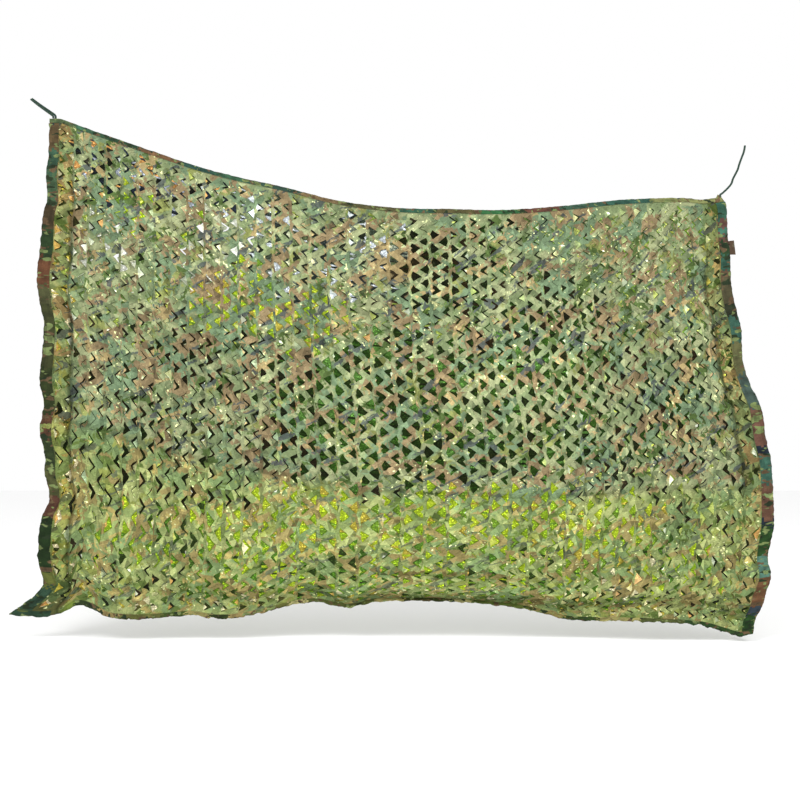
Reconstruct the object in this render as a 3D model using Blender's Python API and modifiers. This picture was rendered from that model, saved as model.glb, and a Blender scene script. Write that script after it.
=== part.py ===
"""Camouflage net hung by its two upper corners: a die-cut cloth, bound with tape on four sides, and its ties.

The frame has its origin at the middle of the top edge, +X to the viewer's right, +Y away from the viewer
and +Z up. Each sheet is first laid out flat, measured along the top edge and down from it, and every point
is then moved to the place where it hangs. Run it in Blender 4.5, in the background or from the Text Editor.
"""
import math
from bisect import bisect_right
from collections import namedtuple

import bmesh
import bpy
from mathutils import Vector

# Driving sizes, in metres
NET_WIDTH = 3.00          # cut width of the cloth
NET_DROP = 2.10           # cut height of the cloth
CLOTH = 0.0016            # thickness of the cloth
TAPE = 0.0012             # thickness of one layer of binding tape
SEAM_GAP = 0.0006         # clearance between the cloth and the tape folded over it
SIDE_TAPE = 0.038         # how far the side bindings reach onto the cloth
TOP_TAPE = 0.014          # the same for the rolled heading
BOTTOM_TAPE = 0.018       # the same for the hem
TAPE_CLEAR = 0.002        # cloth row or column that starts just past the tape's inner edge
TAPE_END_GAP = 0.002      # how far a side binding stops short of the heading and the hem, on the flat cloth
CREASE_FROM_EDGE = 0.105  # the folded crease that runs down beside each side tape
STEP = 0.002              # short distance over which a direction along an edge is taken

# The cuts: tall arrowhead gaps in staggered columns, pointing left and right by turns
GAP_COLUMNS = 36
HALF_ROWS = 33            # a gap takes two of these rows, and neighbouring columns are one row apart
GAP_HEIGHT = 0.106
GAP_POINT = 0.027         # how far the gap's point lies to one side of the column's middle
GAP_NOTCH = 0.005         # how far its blunt side lies to the other
GAP_TIPS = 0.017          # how far its upper and lower tips lie to that other side
GAP_MARGIN = 0.010        # least width of the ribbon of cloth left round it while it is set out

# The ties
CORD = 0.009
STRAND_SPACING = 0.0098
STRAND_TURNS = (0.07, 0.17)   # how far the left tie's strands are wound about it, at the heading and the end
CORD_POINTS = 30
CORD_LIFT = 0.0007        # clearance between a cord's end and the heading it leaves


def table(columns, *rows):
    """Rows of numbers whose columns have names."""
    row = namedtuple("Row", columns)
    return [row(*values) for values in rows]


# The top edge sags from the high left corner to a long level stretch on the right
TOP_LINE = table("x z", (-1.470, 0.374), (-1.424, 0.372), (-1.344, 0.343), (-1.176, 0.284), (-1.008, 0.226),
                 (-0.840, 0.170), (-0.672, 0.126), (-0.504, 0.090), (-0.252, 0.028), (0.000, -0.002),
                 (0.210, -0.006), (0.420, -0.010), (0.672, 0.006), (0.924, 0.032), (1.176, 0.041),
                 (1.270, 0.034), (1.348, 0.044))

# The hem's height, before the lower left corner is drawn out
HEM_LINE = table("x z", (-1.460, -1.694), (-1.400, -1.706), (-1.355, -1.692), (-1.312, -1.654),
                 (-1.260, -1.664), (-1.176, -1.699), (-0.987, -1.702), (-0.840, -1.690), (-0.720, -1.705),
                 (-0.600, -1.692), (-0.353, -1.643), (-0.210, -1.664), (-0.080, -1.637), (0.235, -1.641),
                 (0.512, -1.670), (0.700, -1.714), (1.020, -1.714), (1.239, -1.730), (1.400, -1.774),
                 (1.450, -1.762))

# How far each side swings out from its top corner, by the drop below that corner, and how fast that
# dies away across the cloth
LEFT_SIDE = table("drop out", (0.00, 0.000), (0.14, 0.002), (0.24, 0.012), (0.34, 0.004), (0.40, 0.020),
                  (0.55, 0.028), (0.66, 0.044), (0.76, 0.038), (0.86, 0.020), (1.00, 0.024), (1.10, 0.032),
                  (1.20, 0.020), (1.31, 0.040), (1.42, 0.020), (1.50, 0.014), (1.56, -0.006), (1.61, -0.008),
                  (1.67, 0.020), (1.81, 0.030), (1.90, 0.016), (1.96, -0.010), (2.10, -0.016))
RIGHT_SIDE = table("drop out", (0.00, 0.000), (0.03, 0.021), (0.13, 0.027), (0.24, 0.040), (0.36, 0.040),
                   (0.44, 0.052), (0.55, 0.082), (0.70, 0.098), (0.80, 0.128), (0.88, 0.160), (1.00, 0.176),
                   (1.10, 0.200), (1.20, 0.206), (1.37, 0.198), (1.50, 0.176), (1.58, 0.184), (1.66, 0.150),
                   (1.78, 0.106))
LEFT_FADE = 12
RIGHT_FADE = 1.5

# How far each side curls towards the viewer (+) or away (-), by the distance down the cloth
LEFT_CURL = table("down forward", (0.00, 0.000), (0.30, 0.010), (0.55, 0.034), (0.80, 0.006), (1.10, 0.028),
                  (1.40, -0.010), (1.62, 0.024), (1.86, 0.042), (2.10, 0.020))
RIGHT_CURL = table("down forward", (0.00, 0.000), (0.22, -0.012), (0.45, 0.018), (0.70, -0.014), (0.95, 0.032),
                   (1.20, 0.014), (1.45, 0.040), (1.68, 0.004), (1.88, 0.036), (2.10, 0.024))

# Where the cuts stand widest open, and are cut right through here: rounded oblongs
OPEN_PATCHES = table("x z half_width half_height", (-0.02, -0.80, 1.46, 0.33), (0.27, -0.34, 0.38, 0.28),
                     (-0.84, -0.16, 0.50, 0.20))
PATCH_POWER = 4

# Main folds of the hanging cloth
BELLY = 0.050             # the middle stands towards the viewer
WAVES = table("height across slant phase", (0.022, 2.6, 0.35, 0.10), (0.010, 5.3, -0.40, 0.55))
CORNER_PLEATS = table("along height radius count", (0.0, 0.016, 0.34, 8.0), (NET_WIDTH, 0.010, 0.28, 8.0))
CREASE_DEPTH = 0.022
CREASE_REACH = 0.040
CREASE_FADE = 0.35        # the side creases start this far below the heading
FOLD_DOWN = 1.26          # the packing fold right across, below which the cloth leans to the viewer
FOLD_RIDGE = 0.007
FOLD_REACH = 0.030
LOWER_LEAN = 0.10
GATHER_START = 0.90       # below this the spare length of the cloth is drawn up into the hem
GATHER_POWER = 1.6
HEM_FOLD_START = 1.68
HEM_FOLD_DEPTH = 0.030
HEM_FOLD_PITCH = 0.200
HEM_FOLD_SWING = 1.3
HEM_FOLD_TURNS = 1.4
FULL_SLACK = 0.45         # the slack at which the hem folds have their full depth

# The lower left corner, drawn out to a point
CORNER_ALONG = 0.200
CORNER_UP = 0.150
CORNER_POWER = 1.4
CORNER_PULL = Vector((-0.158, -0.020, 0.006))

# The loose tape end behind the right binding
TAIL_TOP = 0.181
TAIL_BOTTOM = 0.238
TAIL_UNDER = 0.020        # how far it lies behind the binding
TAIL_OUT = 0.030          # how far it sticks out past the cloth's edge
TAIL_FLARE = 0.008

# Routes of the ties, x and z; each starts at the heading and is held out by what the net hangs from
LEFT_EXIT_ALONG = 0.020
LEFT_ROUTE = table("x z", (-1.459, 0.393), (-1.486, 0.412), (-1.517, 0.434), (-1.548, 0.458))
RIGHT_EXIT_ALONG = 2.998
RIGHT_ROUTE = table("x z", (1.354, 0.062), (1.379, 0.086), (1.392, 0.103), (1.398, 0.121), (1.408, 0.141),
                    (1.418, 0.161), (1.425, 0.184), (1.434, 0.209), (1.444, 0.236), (1.449, 0.262))
CORD_DEPTH = 0.0          # both corners lie in the plane of the heading

Finish = namedtuple("Finish", "colour roughness")
CLOTH_FINISH = Finish((0.20, 0.29, 0.13, 1.0), 0.75)
TAPE_FINISH = Finish((0.07, 0.14, 0.09, 1.0), 0.70)
TAIL_FINISH = Finish((0.16, 0.10, 0.06, 1.0), 0.75)
CORD_FINISH = Finish((0.03, 0.09, 0.07, 1.0), 0.60)


def reading(rows, at):
    """Smooth value of a two-column table at a key, with each slope taken from the rows next to it."""
    keys = [row[0] for row in rows]
    low = min(max(bisect_right(keys, at) - 1, 0), len(rows) - 2)

    def slope(index):
        first, last = max(index - 1, 0), min(index + 1, len(rows) - 1)
        return (rows[last][1] - rows[first][1]) / (rows[last][0] - rows[first][0])

    span = keys[low + 1] - keys[low]
    part = (at - keys[low]) / span
    rise = rows[low + 1][1] - rows[low][1]
    start, end = slope(low) * span, slope(low + 1) * span
    curve = 3 * rise - 2 * start - end + part * (start + end - 2 * rise)
    return rows[low][1] + part * (start + part * curve)


def mix(low, high, part):
    return low + (high - low) * part


def ramp(low, high, value):
    """0 below low, 1 above high, and smooth between them."""
    part = min(max((value - low) / (high - low), 0.0), 1.0)
    return part * part * (3 - 2 * part)


def forward(along, down, slack):
    """How far the cloth stands towards the viewer at a place on it."""
    share = along / NET_WIDTH
    depth = BELLY * math.sin(math.pi * share) * math.sin(math.pi * down / NET_DROP)
    for wave in WAVES:
        turns = wave.across * share + wave.slant * down + wave.phase
        depth += wave.height * math.sin(math.tau * turns) * down / NET_DROP
    for pleat in CORNER_PLEATS:
        side = abs(along - pleat.along)
        turn = math.atan2(down, side)
        reach = math.hypot(side, down) / pleat.radius
        fan = math.sin(pleat.count * turn) * math.sin(2 * turn)
        depth += pleat.height * fan * (reach * math.exp(1 - reach)) ** 2
    depth += LOWER_LEAN * max(0.0, down - FOLD_DOWN)
    depth += FOLD_RIDGE * math.exp(-((down - FOLD_DOWN) / FOLD_REACH) ** 2)
    fold = math.tau * (down - HEM_FOLD_START) / HEM_FOLD_PITCH
    fold += HEM_FOLD_SWING * math.sin(math.tau * HEM_FOLD_TURNS * share)
    depth += HEM_FOLD_DEPTH * math.sin(fold) * ramp(HEM_FOLD_START, NET_DROP, down) * slack / FULL_SLACK
    for curl, edge in ((LEFT_CURL, along), (RIGHT_CURL, NET_WIDTH - along)):
        crease = math.exp(-abs(edge - CREASE_FROM_EDGE) / CREASE_REACH)
        depth -= CREASE_DEPTH * crease * ramp(0.0, CREASE_FADE, down)
        if edge < CREASE_FROM_EDGE:
            depth += reading(curl, down) * (1 - edge / CREASE_FROM_EDGE) ** 2
    return depth


def hang(along, down):
    """Where a place on the flat cloth comes to when the net hangs."""
    share = along / NET_WIDTH
    top = reading(TOP_LINE, mix(TOP_LINE[0].x, TOP_LINE[-1].x, share))
    hem = reading(HEM_LINE, mix(HEM_LINE[0].x, HEM_LINE[-1].x, share))
    slack = NET_DROP - (top - hem)
    drop = down - slack * max(0.0, (down - GATHER_START) / (NET_DROP - GATHER_START)) ** GATHER_POWER
    x = mix(TOP_LINE[0].x, TOP_LINE[-1].x, share)
    x += reading(RIGHT_SIDE, drop) * max(share, 0.0) ** RIGHT_FADE
    x -= reading(LEFT_SIDE, drop) * (1 - min(share, 1.0)) ** LEFT_FADE
    place = Vector((x, -forward(along, down, slack), top - drop))
    reach = math.hypot(max(along, 0.0) / CORNER_ALONG, max(NET_DROP - down, 0.0) / CORNER_UP)
    return place + CORNER_PULL * max(0.0, 1 - reach) ** CORNER_POWER


def flat_grid(columns, rows):
    """A grid of quads whose lines lie at the given columns and rows."""
    bm = bmesh.new()
    last_column, last_row = len(columns) - 1, len(rows) - 1
    bmesh.ops.create_grid(bm, x_segments=last_column, y_segments=last_row, size=1)
    for vert in bm.verts:
        column = round((vert.co.x + 1) / 2 * last_column)
        row = round((vert.co.y + 1) / 2 * last_row)
        vert.co = (columns[column], rows[row], 0)
    return bm


def split_quads(bm, faces, place):
    """Splits quads from upper left to lower right, the same way on every layer of cloth."""
    for face in list(faces):
        verts = sorted(face.verts, key=lambda vert: (round(sum(place(vert)), 6), vert.index))
        bmesh.utils.face_split(face, verts[0], verts[-1])


def stations():
    """Columns and rows of the cloth, shared by the tapes, so that every layer bends at the same lines."""
    first, last = CREASE_FROM_EDGE, NET_WIDTH - CREASE_FROM_EDGE
    edge = SIDE_TAPE + TAPE_CLEAR
    columns = [0.0, edge] + [mix(first, last, i / GAP_COLUMNS) for i in range(GAP_COLUMNS + 1)]
    columns += [NET_WIDTH - edge, NET_WIDTH]
    first, last = TOP_TAPE + TAPE_CLEAR, NET_DROP - BOTTOM_TAPE - TAPE_CLEAR
    rows = [0.0] + [mix(first, last, i / HALF_ROWS) for i in range(HALF_ROWS + 1)] + [NET_DROP]
    return columns, rows


COLUMNS, ROWS = stations()
FIRST_GAP_COLUMN = 2      # columns of cells outside this are the tape's and the crease's
FIRST_GAP_ROW = 1


def finish_object(name, bm, finish, thickness=None):
    """Turns a mesh into a named object with its own material, and thickens a sheet."""
    mesh = bpy.data.meshes.new(name)
    bm.to_mesh(mesh)
    bm.free()
    obj = bpy.data.objects.new(name, mesh)
    PARTS.objects.link(obj)
    mesh.materials.append(material(name, finish))
    if thickness:
        solidify = obj.modifiers.new("thickness", "SOLIDIFY")
        solidify.thickness = thickness
        solidify.offset = 0
        solidify.use_even_offset = True
    return obj


def material(name, finish):
    made = bpy.data.materials.new(name)
    made.use_nodes = True
    shader = made.node_tree.nodes["Principled BSDF"]
    shader.inputs["Base Color"].default_value = finish.colour
    shader.inputs["Roughness"].default_value = finish.roughness
    shader.inputs["Metallic"].default_value = 0.0
    made.diffuse_color = finish.colour
    return made


def cell_of(face):
    """Column and half row of a flat face, counted among the gap cells."""
    centre = face.calc_center_median()
    column = bisect_right(COLUMNS, centre.x) - 1 - FIRST_GAP_COLUMN
    row = bisect_right(ROWS, centre.y) - 1 - FIRST_GAP_ROW
    inside = 0 <= column < GAP_COLUMNS and 0 <= row < HALF_ROWS
    return (column, row) if inside else None


def stands_open(along, down):
    place = hang(along, down)
    for patch in OPEN_PATCHES:
        across, up = (place.x - patch.x) / patch.half_width, (place.z - patch.z) / patch.half_height
        if abs(across) ** PATCH_POWER + abs(up) ** PATCH_POWER < 1:
            return True
    return False


def pair_half_cells(bm):
    """Joins half rows two by two where a gap will be, staggered from column to column."""
    cells = {cell_of(face): face for face in bm.faces}
    seams = []
    for (column, row), face in ((cell, face) for cell, face in cells.items() if cell):
        below = cells.get((column, row + 1))
        seam = [edge for edge in face.edges if below in edge.link_faces]
        staggered = (column + row) % 2 == 0
        if seam and staggered and stands_open(face.calc_center_median().x, seam[0].verts[0].co.y):
            seams += seam
    bmesh.ops.dissolve_edges(bm, edges=seams, use_verts=False, use_face_split=False)


def cut_gaps(bm):
    """Opens an arrowhead gap in each paired cell."""
    chosen = [face for face in bm.faces if len(face.verts) == 6]
    centres = {face: face.calc_center_bounds() for face in chosen}
    bmesh.ops.inset_individual(bm, faces=chosen, thickness=GAP_MARGIN)
    corners = []
    for face, centre in centres.items():
        column = bisect_right(COLUMNS, centre.x)
        side = 1 if column % 2 else -1
        ordered = sorted(face.verts, key=lambda vert: vert.co.y)
        for level, pair in zip((-1, 0, 1), (ordered[:2], ordered[2:4], ordered[4:])):
            for vert in pair:
                if level:
                    vert.co.x = centre.x - side * GAP_TIPS
                else:
                    on_point_side = (vert.co.x - centre.x) * side > 0
                    vert.co.x = centre.x + side * (GAP_POINT if on_point_side else -GAP_NOTCH)
                vert.co.y = centre.y + level * GAP_HEIGHT / 2
                corners.append(vert)
    bmesh.ops.delete(bm, geom=chosen, context="FACES_ONLY")
    bmesh.ops.remove_doubles(bm, verts=corners, dist=0.0001)


def make_net_panel():
    bm = flat_grid(COLUMNS, ROWS)
    pair_half_cells(bm)
    cut_gaps(bm)
    border = [face for face in bm.faces if len(face.verts) == 4 and cell_of(face) is None]
    bm.verts.index_update()
    split_quads(bm, border, lambda vert: vert.co[:2])
    for vert in bm.verts:
        vert.co = hang(vert.co.x, vert.co.y)
    finish_object("net_panel", bm, CLOTH_FINISH, CLOTH)


def border_frame(edge, inner, station):
    """Edge and inner line of a border at one station, the way square out of it, and its front side."""
    rim, root = hang(*edge(station)), hang(*inner(station))
    onward = (hang(*edge(station + STEP)) - hang(*edge(station - STEP))).normalized()
    outward = rim - root
    outward = (outward - onward * outward.dot(onward)).normalized()
    front = outward.cross(onward)
    return rim, root, outward, front if front.y < 0 else -front


def make_binding(name, edge, inner, stretch):
    """Tape folded over one edge of the cloth: front layer, fold and back layer in one strip.

    edge and inner give the places on the flat cloth, by station, of its edge and of the tape's reach.
    """
    lift = CLOTH / 2 + SEAM_GAP + TAPE / 2
    fold = SEAM_GAP + TAPE / 2
    layers = [(False, lift), (True, lift), (True, -lift), (False, -lift)]
    bm = flat_grid(range(len(layers)), stretch)
    places, flat = {}, {}
    for vert in bm.verts:
        at_rim, height = layers[round(vert.co.x)]
        station = vert.co.y
        rim, root, outward, front = border_frame(edge, inner, station)
        across = rim + outward * fold if at_rim else root + (rim - root).normalized() * TAPE_CLEAR
        places[vert] = across + front * height
        flat[vert] = edge(station) if at_rim else inner(station)
    bm.verts.index_update()
    split_quads(bm, bm.faces, lambda vert: flat[vert])
    for vert, place in places.items():
        vert.co = place
    finish_object(name, bm, TAPE_FINISH, TAPE)


def make_bindings():
    overhang = SEAM_GAP + TAPE
    along = [-overhang] + COLUMNS[1:-1] + [NET_WIDTH + overhang]
    down = [ROWS[1] + TAPE_END_GAP] + ROWS[2:-2] + [ROWS[-2] - TAPE_END_GAP]
    left, right, low, high = COLUMNS[1], COLUMNS[-2], ROWS[-2], ROWS[1]
    make_binding("binding_top", lambda at: (at, 0.0), lambda at: (at, high), along)
    make_binding("binding_bottom", lambda at: (at, NET_DROP), lambda at: (at, low), along)
    make_binding("binding_left", lambda at: (0.0, at), lambda at: (left, at), down)
    make_binding("binding_right", lambda at: (NET_WIDTH, at), lambda at: (right, at), down)


def make_tape_tail():
    """The tape's loose end: it lies behind the right binding and flares out past it."""
    behind = CLOTH / 2 + 2 * SEAM_GAP + TAPE + TAPE / 2
    edge, inner = lambda at: (NET_WIDTH, at), lambda at: (COLUMNS[-2], at)
    bend = ROWS[bisect_right(ROWS, TAIL_TOP)]
    bm = flat_grid((-TAIL_UNDER, 0.0, TAIL_OUT / 2, TAIL_OUT), (TAIL_TOP, bend, TAIL_BOTTOM))
    for vert in bm.verts:
        out, down = vert.co.x, vert.co.y
        rim, _, outward, front = border_frame(edge, inner, down)
        flare = TAIL_FLARE * (max(out, 0.0) / TAIL_OUT) ** 2
        vert.co = rim + outward * out - front * (behind + flare)
    finish_object("tape_tail", bm, TAIL_FINISH, TAPE)


def route_point(points, share):
    """A place on a smooth curve through the points, by its share of the distance from point to point."""
    distances = [0.0]
    for first, second in zip(points, points[1:]):
        distances.append(distances[-1] + (second - first).length)
    at = share * distances[-1]
    return Vector([reading(list(zip(distances, axis)), at) for axis in zip(*points)])


def make_tie(name, exit_along, route, sideways=0.0):
    """A tie that leaves the heading square to it and follows its route, or lies beside it."""
    edge, inner = lambda at: (at, 0.0), lambda at: (at, ROWS[1])
    heading, _, upward, _ = border_frame(edge, inner, exit_along)
    start = heading + upward * (SEAM_GAP + TAPE + CORD_LIFT)
    points = [start, start + upward * CORD] + [Vector((row.x, CORD_DEPTH, row.z)) for row in route]
    curve = bpy.data.curves.new(name, "CURVE")
    curve.dimensions = "3D"
    curve.bevel_depth = CORD / 2
    curve.bevel_resolution = 2
    curve.use_fill_caps = True
    spline = curve.splines.new("POLY")
    spline.points.add(CORD_POINTS - 1)
    for index, point in enumerate(spline.points):
        share = index / (CORD_POINTS - 1)
        place = route_point(points, share)
        ahead = route_point(points, min(share + STEP, 1.0)) - route_point(points, max(share - STEP, 0.0))
        ahead.normalize()
        angle = math.tau * mix(*STRAND_TURNS, share)
        beside = Vector((ahead.z * math.cos(angle), math.sin(angle), -ahead.x * math.cos(angle)))
        point.co = (*(place + beside * sideways), 1.0)
    obj = bpy.data.objects.new(name, curve)
    PARTS.objects.link(obj)
    curve.materials.append(material(name, CORD_FINISH))


for old in list(bpy.data.objects):
    bpy.data.objects.remove(old, do_unlink=True)
PARTS = bpy.data.collections.new("camouflage_net")
bpy.context.scene.collection.children.link(PARTS)

make_net_panel()
make_bindings()
make_tape_tail()
make_tie("tie_left_1", LEFT_EXIT_ALONG, LEFT_ROUTE, -STRAND_SPACING / 2)
make_tie("tie_left_2", LEFT_EXIT_ALONG, LEFT_ROUTE, STRAND_SPACING / 2)
make_tie("tie_right", RIGHT_EXIT_ALONG, RIGHT_ROUTE)
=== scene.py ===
# %% [markdown]
# # A camouflage net, hung by its two upper corners
#
# The real thing is one light cloth, about 3 m by 2.1 m, printed in woodland colours. A die has pressed rows
# of curved cuts into it, so that it opens into a lattice of ribbons with a small tongue of cloth in every
# gap. A tape is folded over each edge, and cords at the two upper corners hold it up.
#
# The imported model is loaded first. It holds the true hung shape, and every piece made below takes the place
# of one of its solids.

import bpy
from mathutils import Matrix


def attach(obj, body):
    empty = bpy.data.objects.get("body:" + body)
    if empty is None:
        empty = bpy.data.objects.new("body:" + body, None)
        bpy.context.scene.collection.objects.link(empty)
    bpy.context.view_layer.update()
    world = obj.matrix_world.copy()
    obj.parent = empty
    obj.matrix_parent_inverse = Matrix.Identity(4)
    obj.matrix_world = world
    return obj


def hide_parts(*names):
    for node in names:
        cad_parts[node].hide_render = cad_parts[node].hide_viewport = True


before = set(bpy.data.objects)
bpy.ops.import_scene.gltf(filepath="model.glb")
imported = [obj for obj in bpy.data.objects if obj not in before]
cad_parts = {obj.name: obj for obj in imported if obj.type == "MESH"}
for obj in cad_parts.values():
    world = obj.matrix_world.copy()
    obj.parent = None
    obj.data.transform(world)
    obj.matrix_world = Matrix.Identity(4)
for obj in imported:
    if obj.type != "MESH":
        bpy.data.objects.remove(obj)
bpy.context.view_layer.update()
print("solids:", ", ".join(sorted(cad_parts)))

# %% The tools that are used all through
import math
import random
from bisect import bisect_right
from collections import namedtuple

import bpy
from mathutils import Vector, noise

scene = bpy.context.scene


def table(columns, *rows):
    """Rows of numbers whose columns have names."""
    row = namedtuple("Row", columns)
    return [row(*values) for values in rows]


def reading(rows, at):
    """Smooth value of a two-column table, with each slope taken from the rows next to it."""
    keys = [row[0] for row in rows]
    low = min(max(bisect_right(keys, at) - 1, 0), len(rows) - 2)

    def slope(index):
        first, last = max(index - 1, 0), min(index + 1, len(rows) - 1)
        return (rows[last][1] - rows[first][1]) / (rows[last][0] - rows[first][0])

    span = keys[low + 1] - keys[low]
    part = (at - keys[low]) / span
    rise = rows[low + 1][1] - rows[low][1]
    start, end = slope(low) * span, slope(low + 1) * span
    curve = 3 * rise - 2 * start - end + part * (start + end - 2 * rise)
    return rows[low][1] + part * (start + part * curve)


def mix(low, high, part):
    return low + (high - low) * part


def ramp(low, high, value):
    """0 below low, 1 above high, and smooth between them."""
    part = min(max((value - low) / (high - low), 0.0), 1.0)
    return part * part * (3 - 2 * part)


# %% [markdown]
# ## Where the cloth hangs
#
# Real cloth is cut flat and then hung. The same is done here: every point is first given on the flat cloth,
# as a distance along the top edge and a distance down from it, and one function moves it to where it hangs.
# The top edge sags between the ties, the sides swing out, the spare length of the lower part is drawn up
# into the hem, and the lower left corner is pulled out to a point. A cloth simulation would sag in a similar
# way, but it wouldn't give this very outline, so the drape is written out as a few short tables.

# %% The sizes and the lines of the drape
NET_WIDTH, NET_DROP = 3.00, 2.10
CLOTH, TAPE, SEAM_GAP = 0.0016, 0.0012, 0.0006
SIDE_TAPE, TOP_TAPE, BOTTOM_TAPE = 0.038, 0.014, 0.018
TAPE_CLEAR = 0.002
HEADING_INNER, HEM_INNER = TOP_TAPE + TAPE_CLEAR, NET_DROP - BOTTOM_TAPE - TAPE_CLEAR
SIDE_INNER = SIDE_TAPE + TAPE_CLEAR
CREASE_FROM_EDGE = 0.105
STEP = 0.002

TOP_LINE = table("x z", (-1.470, 0.374), (-1.424, 0.372), (-1.344, 0.343), (-1.176, 0.284), (-1.008, 0.226),
                 (-0.840, 0.170), (-0.672, 0.126), (-0.504, 0.090), (-0.252, 0.028), (0.000, -0.002),
                 (0.210, -0.006), (0.420, -0.010), (0.672, 0.006), (0.924, 0.032), (1.176, 0.041),
                 (1.270, 0.034), (1.348, 0.044))
HEM_LINE = table("x z", (-1.460, -1.694), (-1.400, -1.706), (-1.355, -1.692), (-1.312, -1.654),
                 (-1.260, -1.664), (-1.176, -1.699), (-0.987, -1.702), (-0.840, -1.690), (-0.720, -1.705),
                 (-0.600, -1.692), (-0.353, -1.643), (-0.210, -1.664), (-0.080, -1.637), (0.235, -1.641),
                 (0.512, -1.670), (0.700, -1.714), (1.020, -1.714), (1.239, -1.730), (1.400, -1.774),
                 (1.450, -1.762))
LEFT_SIDE = table("drop out", (0.00, 0.000), (0.14, 0.002), (0.24, 0.012), (0.34, 0.004), (0.40, 0.020),
                  (0.55, 0.028), (0.66, 0.044), (0.76, 0.038), (0.86, 0.020), (1.00, 0.024), (1.10, 0.032),
                  (1.20, 0.020), (1.31, 0.040), (1.42, 0.020), (1.50, 0.014), (1.56, -0.006), (1.61, -0.008),
                  (1.67, 0.020), (1.81, 0.030), (1.90, 0.016), (1.96, -0.010), (2.10, -0.016))
RIGHT_SIDE = table("drop out", (0.00, 0.000), (0.03, 0.021), (0.13, 0.027), (0.24, 0.040), (0.36, 0.040),
                   (0.44, 0.052), (0.55, 0.082), (0.70, 0.098), (0.80, 0.128), (0.88, 0.160), (1.00, 0.176),
                   (1.10, 0.200), (1.20, 0.206), (1.37, 0.198), (1.50, 0.176), (1.58, 0.184), (1.66, 0.150),
                   (1.78, 0.106))
LEFT_FADE, RIGHT_FADE = 12, 1.5
LEFT_CURL = table("down forward", (0.00, 0.000), (0.30, 0.010), (0.55, 0.034), (0.80, 0.006), (1.10, 0.028),
                  (1.40, -0.010), (1.62, 0.024), (1.86, 0.042), (2.10, 0.020))
RIGHT_CURL = table("down forward", (0.00, 0.000), (0.22, -0.012), (0.45, 0.018), (0.70, -0.014),
                   (0.95, 0.032), (1.20, 0.014), (1.45, 0.040), (1.68, 0.004), (1.88, 0.036), (2.10, 0.024))

# %% Its main folds
BELLY = 0.050                    # the middle stands towards the viewer
WAVES = table("height across slant phase", (0.022, 2.6, 0.35, 0.10), (0.010, 5.3, -0.40, 0.55))
CORNER_PLEATS = table("along height radius count", (0.0, 0.016, 0.34, 8.0), (NET_WIDTH, 0.010, 0.28, 8.0))
CREASE_DEPTH, CREASE_REACH, CREASE_FADE = 0.022, 0.040, 0.35     # beside each side tape
FOLD_DOWN, FOLD_RIDGE, FOLD_REACH, LOWER_LEAN = 1.26, 0.007, 0.030, 0.10     # the packing fold right across
GATHER_START, GATHER_POWER = 0.90, 1.6
HEM_FOLD_START, HEM_FOLD_DEPTH, HEM_FOLD_PITCH = 1.68, 0.030, 0.200
HEM_FOLD_SWING, HEM_FOLD_TURNS = 1.3, 1.4
FULL_SLACK = 0.45                # the slack at which the hem's folds have their full depth
CORNER_ALONG, CORNER_UP, CORNER_POWER = 0.200, 0.150, 1.4
CORNER_PULL = Vector((-0.158, -0.020, 0.006))
print("flat cloth", NET_WIDTH, "by", NET_DROP, "m")


# %% The drape
def forward(along, down, slack):
    """How far the cloth stands towards the viewer at a place on it."""
    share = along / NET_WIDTH
    depth = BELLY * math.sin(math.pi * share) * math.sin(math.pi * down / NET_DROP)
    for wave in WAVES:
        turns = wave.across * share + wave.slant * down + wave.phase
        depth += wave.height * math.sin(math.tau * turns) * down / NET_DROP
    for pleat in CORNER_PLEATS:
        side = abs(along - pleat.along)
        turn = math.atan2(down, side)
        reach = math.hypot(side, down) / pleat.radius
        fan = math.sin(pleat.count * turn) * math.sin(2 * turn)
        depth += pleat.height * fan * (reach * math.exp(1 - reach)) ** 2
    depth += LOWER_LEAN * max(0.0, down - FOLD_DOWN)
    depth += FOLD_RIDGE * math.exp(-((down - FOLD_DOWN) / FOLD_REACH) ** 2)
    fold = math.tau * (down - HEM_FOLD_START) / HEM_FOLD_PITCH
    fold += HEM_FOLD_SWING * math.sin(math.tau * HEM_FOLD_TURNS * share)
    depth += HEM_FOLD_DEPTH * math.sin(fold) * ramp(HEM_FOLD_START, NET_DROP, down) * slack / FULL_SLACK
    for curl, edge in ((LEFT_CURL, along), (RIGHT_CURL, NET_WIDTH - along)):
        crease = math.exp(-abs(edge - CREASE_FROM_EDGE) / CREASE_REACH)
        depth -= CREASE_DEPTH * crease * ramp(0.0, CREASE_FADE, down)
        if edge < CREASE_FROM_EDGE:
            depth += reading(curl, down) * (1 - edge / CREASE_FROM_EDGE) ** 2
    return depth


def hang(along, down):
    """Where a place on the flat cloth comes to when the net hangs."""
    share = along / NET_WIDTH
    top = reading(TOP_LINE, mix(TOP_LINE[0].x, TOP_LINE[-1].x, share))
    hem = reading(HEM_LINE, mix(HEM_LINE[0].x, HEM_LINE[-1].x, share))
    slack = NET_DROP - (top - hem)
    drop = down - slack * max(0.0, (down - GATHER_START) / (NET_DROP - GATHER_START)) ** GATHER_POWER
    x = mix(TOP_LINE[0].x, TOP_LINE[-1].x, share)
    x += reading(RIGHT_SIDE, drop) * max(share, 0.0) ** RIGHT_FADE
    x -= reading(LEFT_SIDE, drop) * (1 - min(share, 1.0)) ** LEFT_FADE
    place = Vector((x, -forward(along, down, slack), top - drop))
    reach = math.hypot(max(along, 0.0) / CORNER_ALONG, max(NET_DROP - down, 0.0) / CORNER_UP)
    return place + CORNER_PULL * max(0.0, 1 - reach) ** CORNER_POWER


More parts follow.
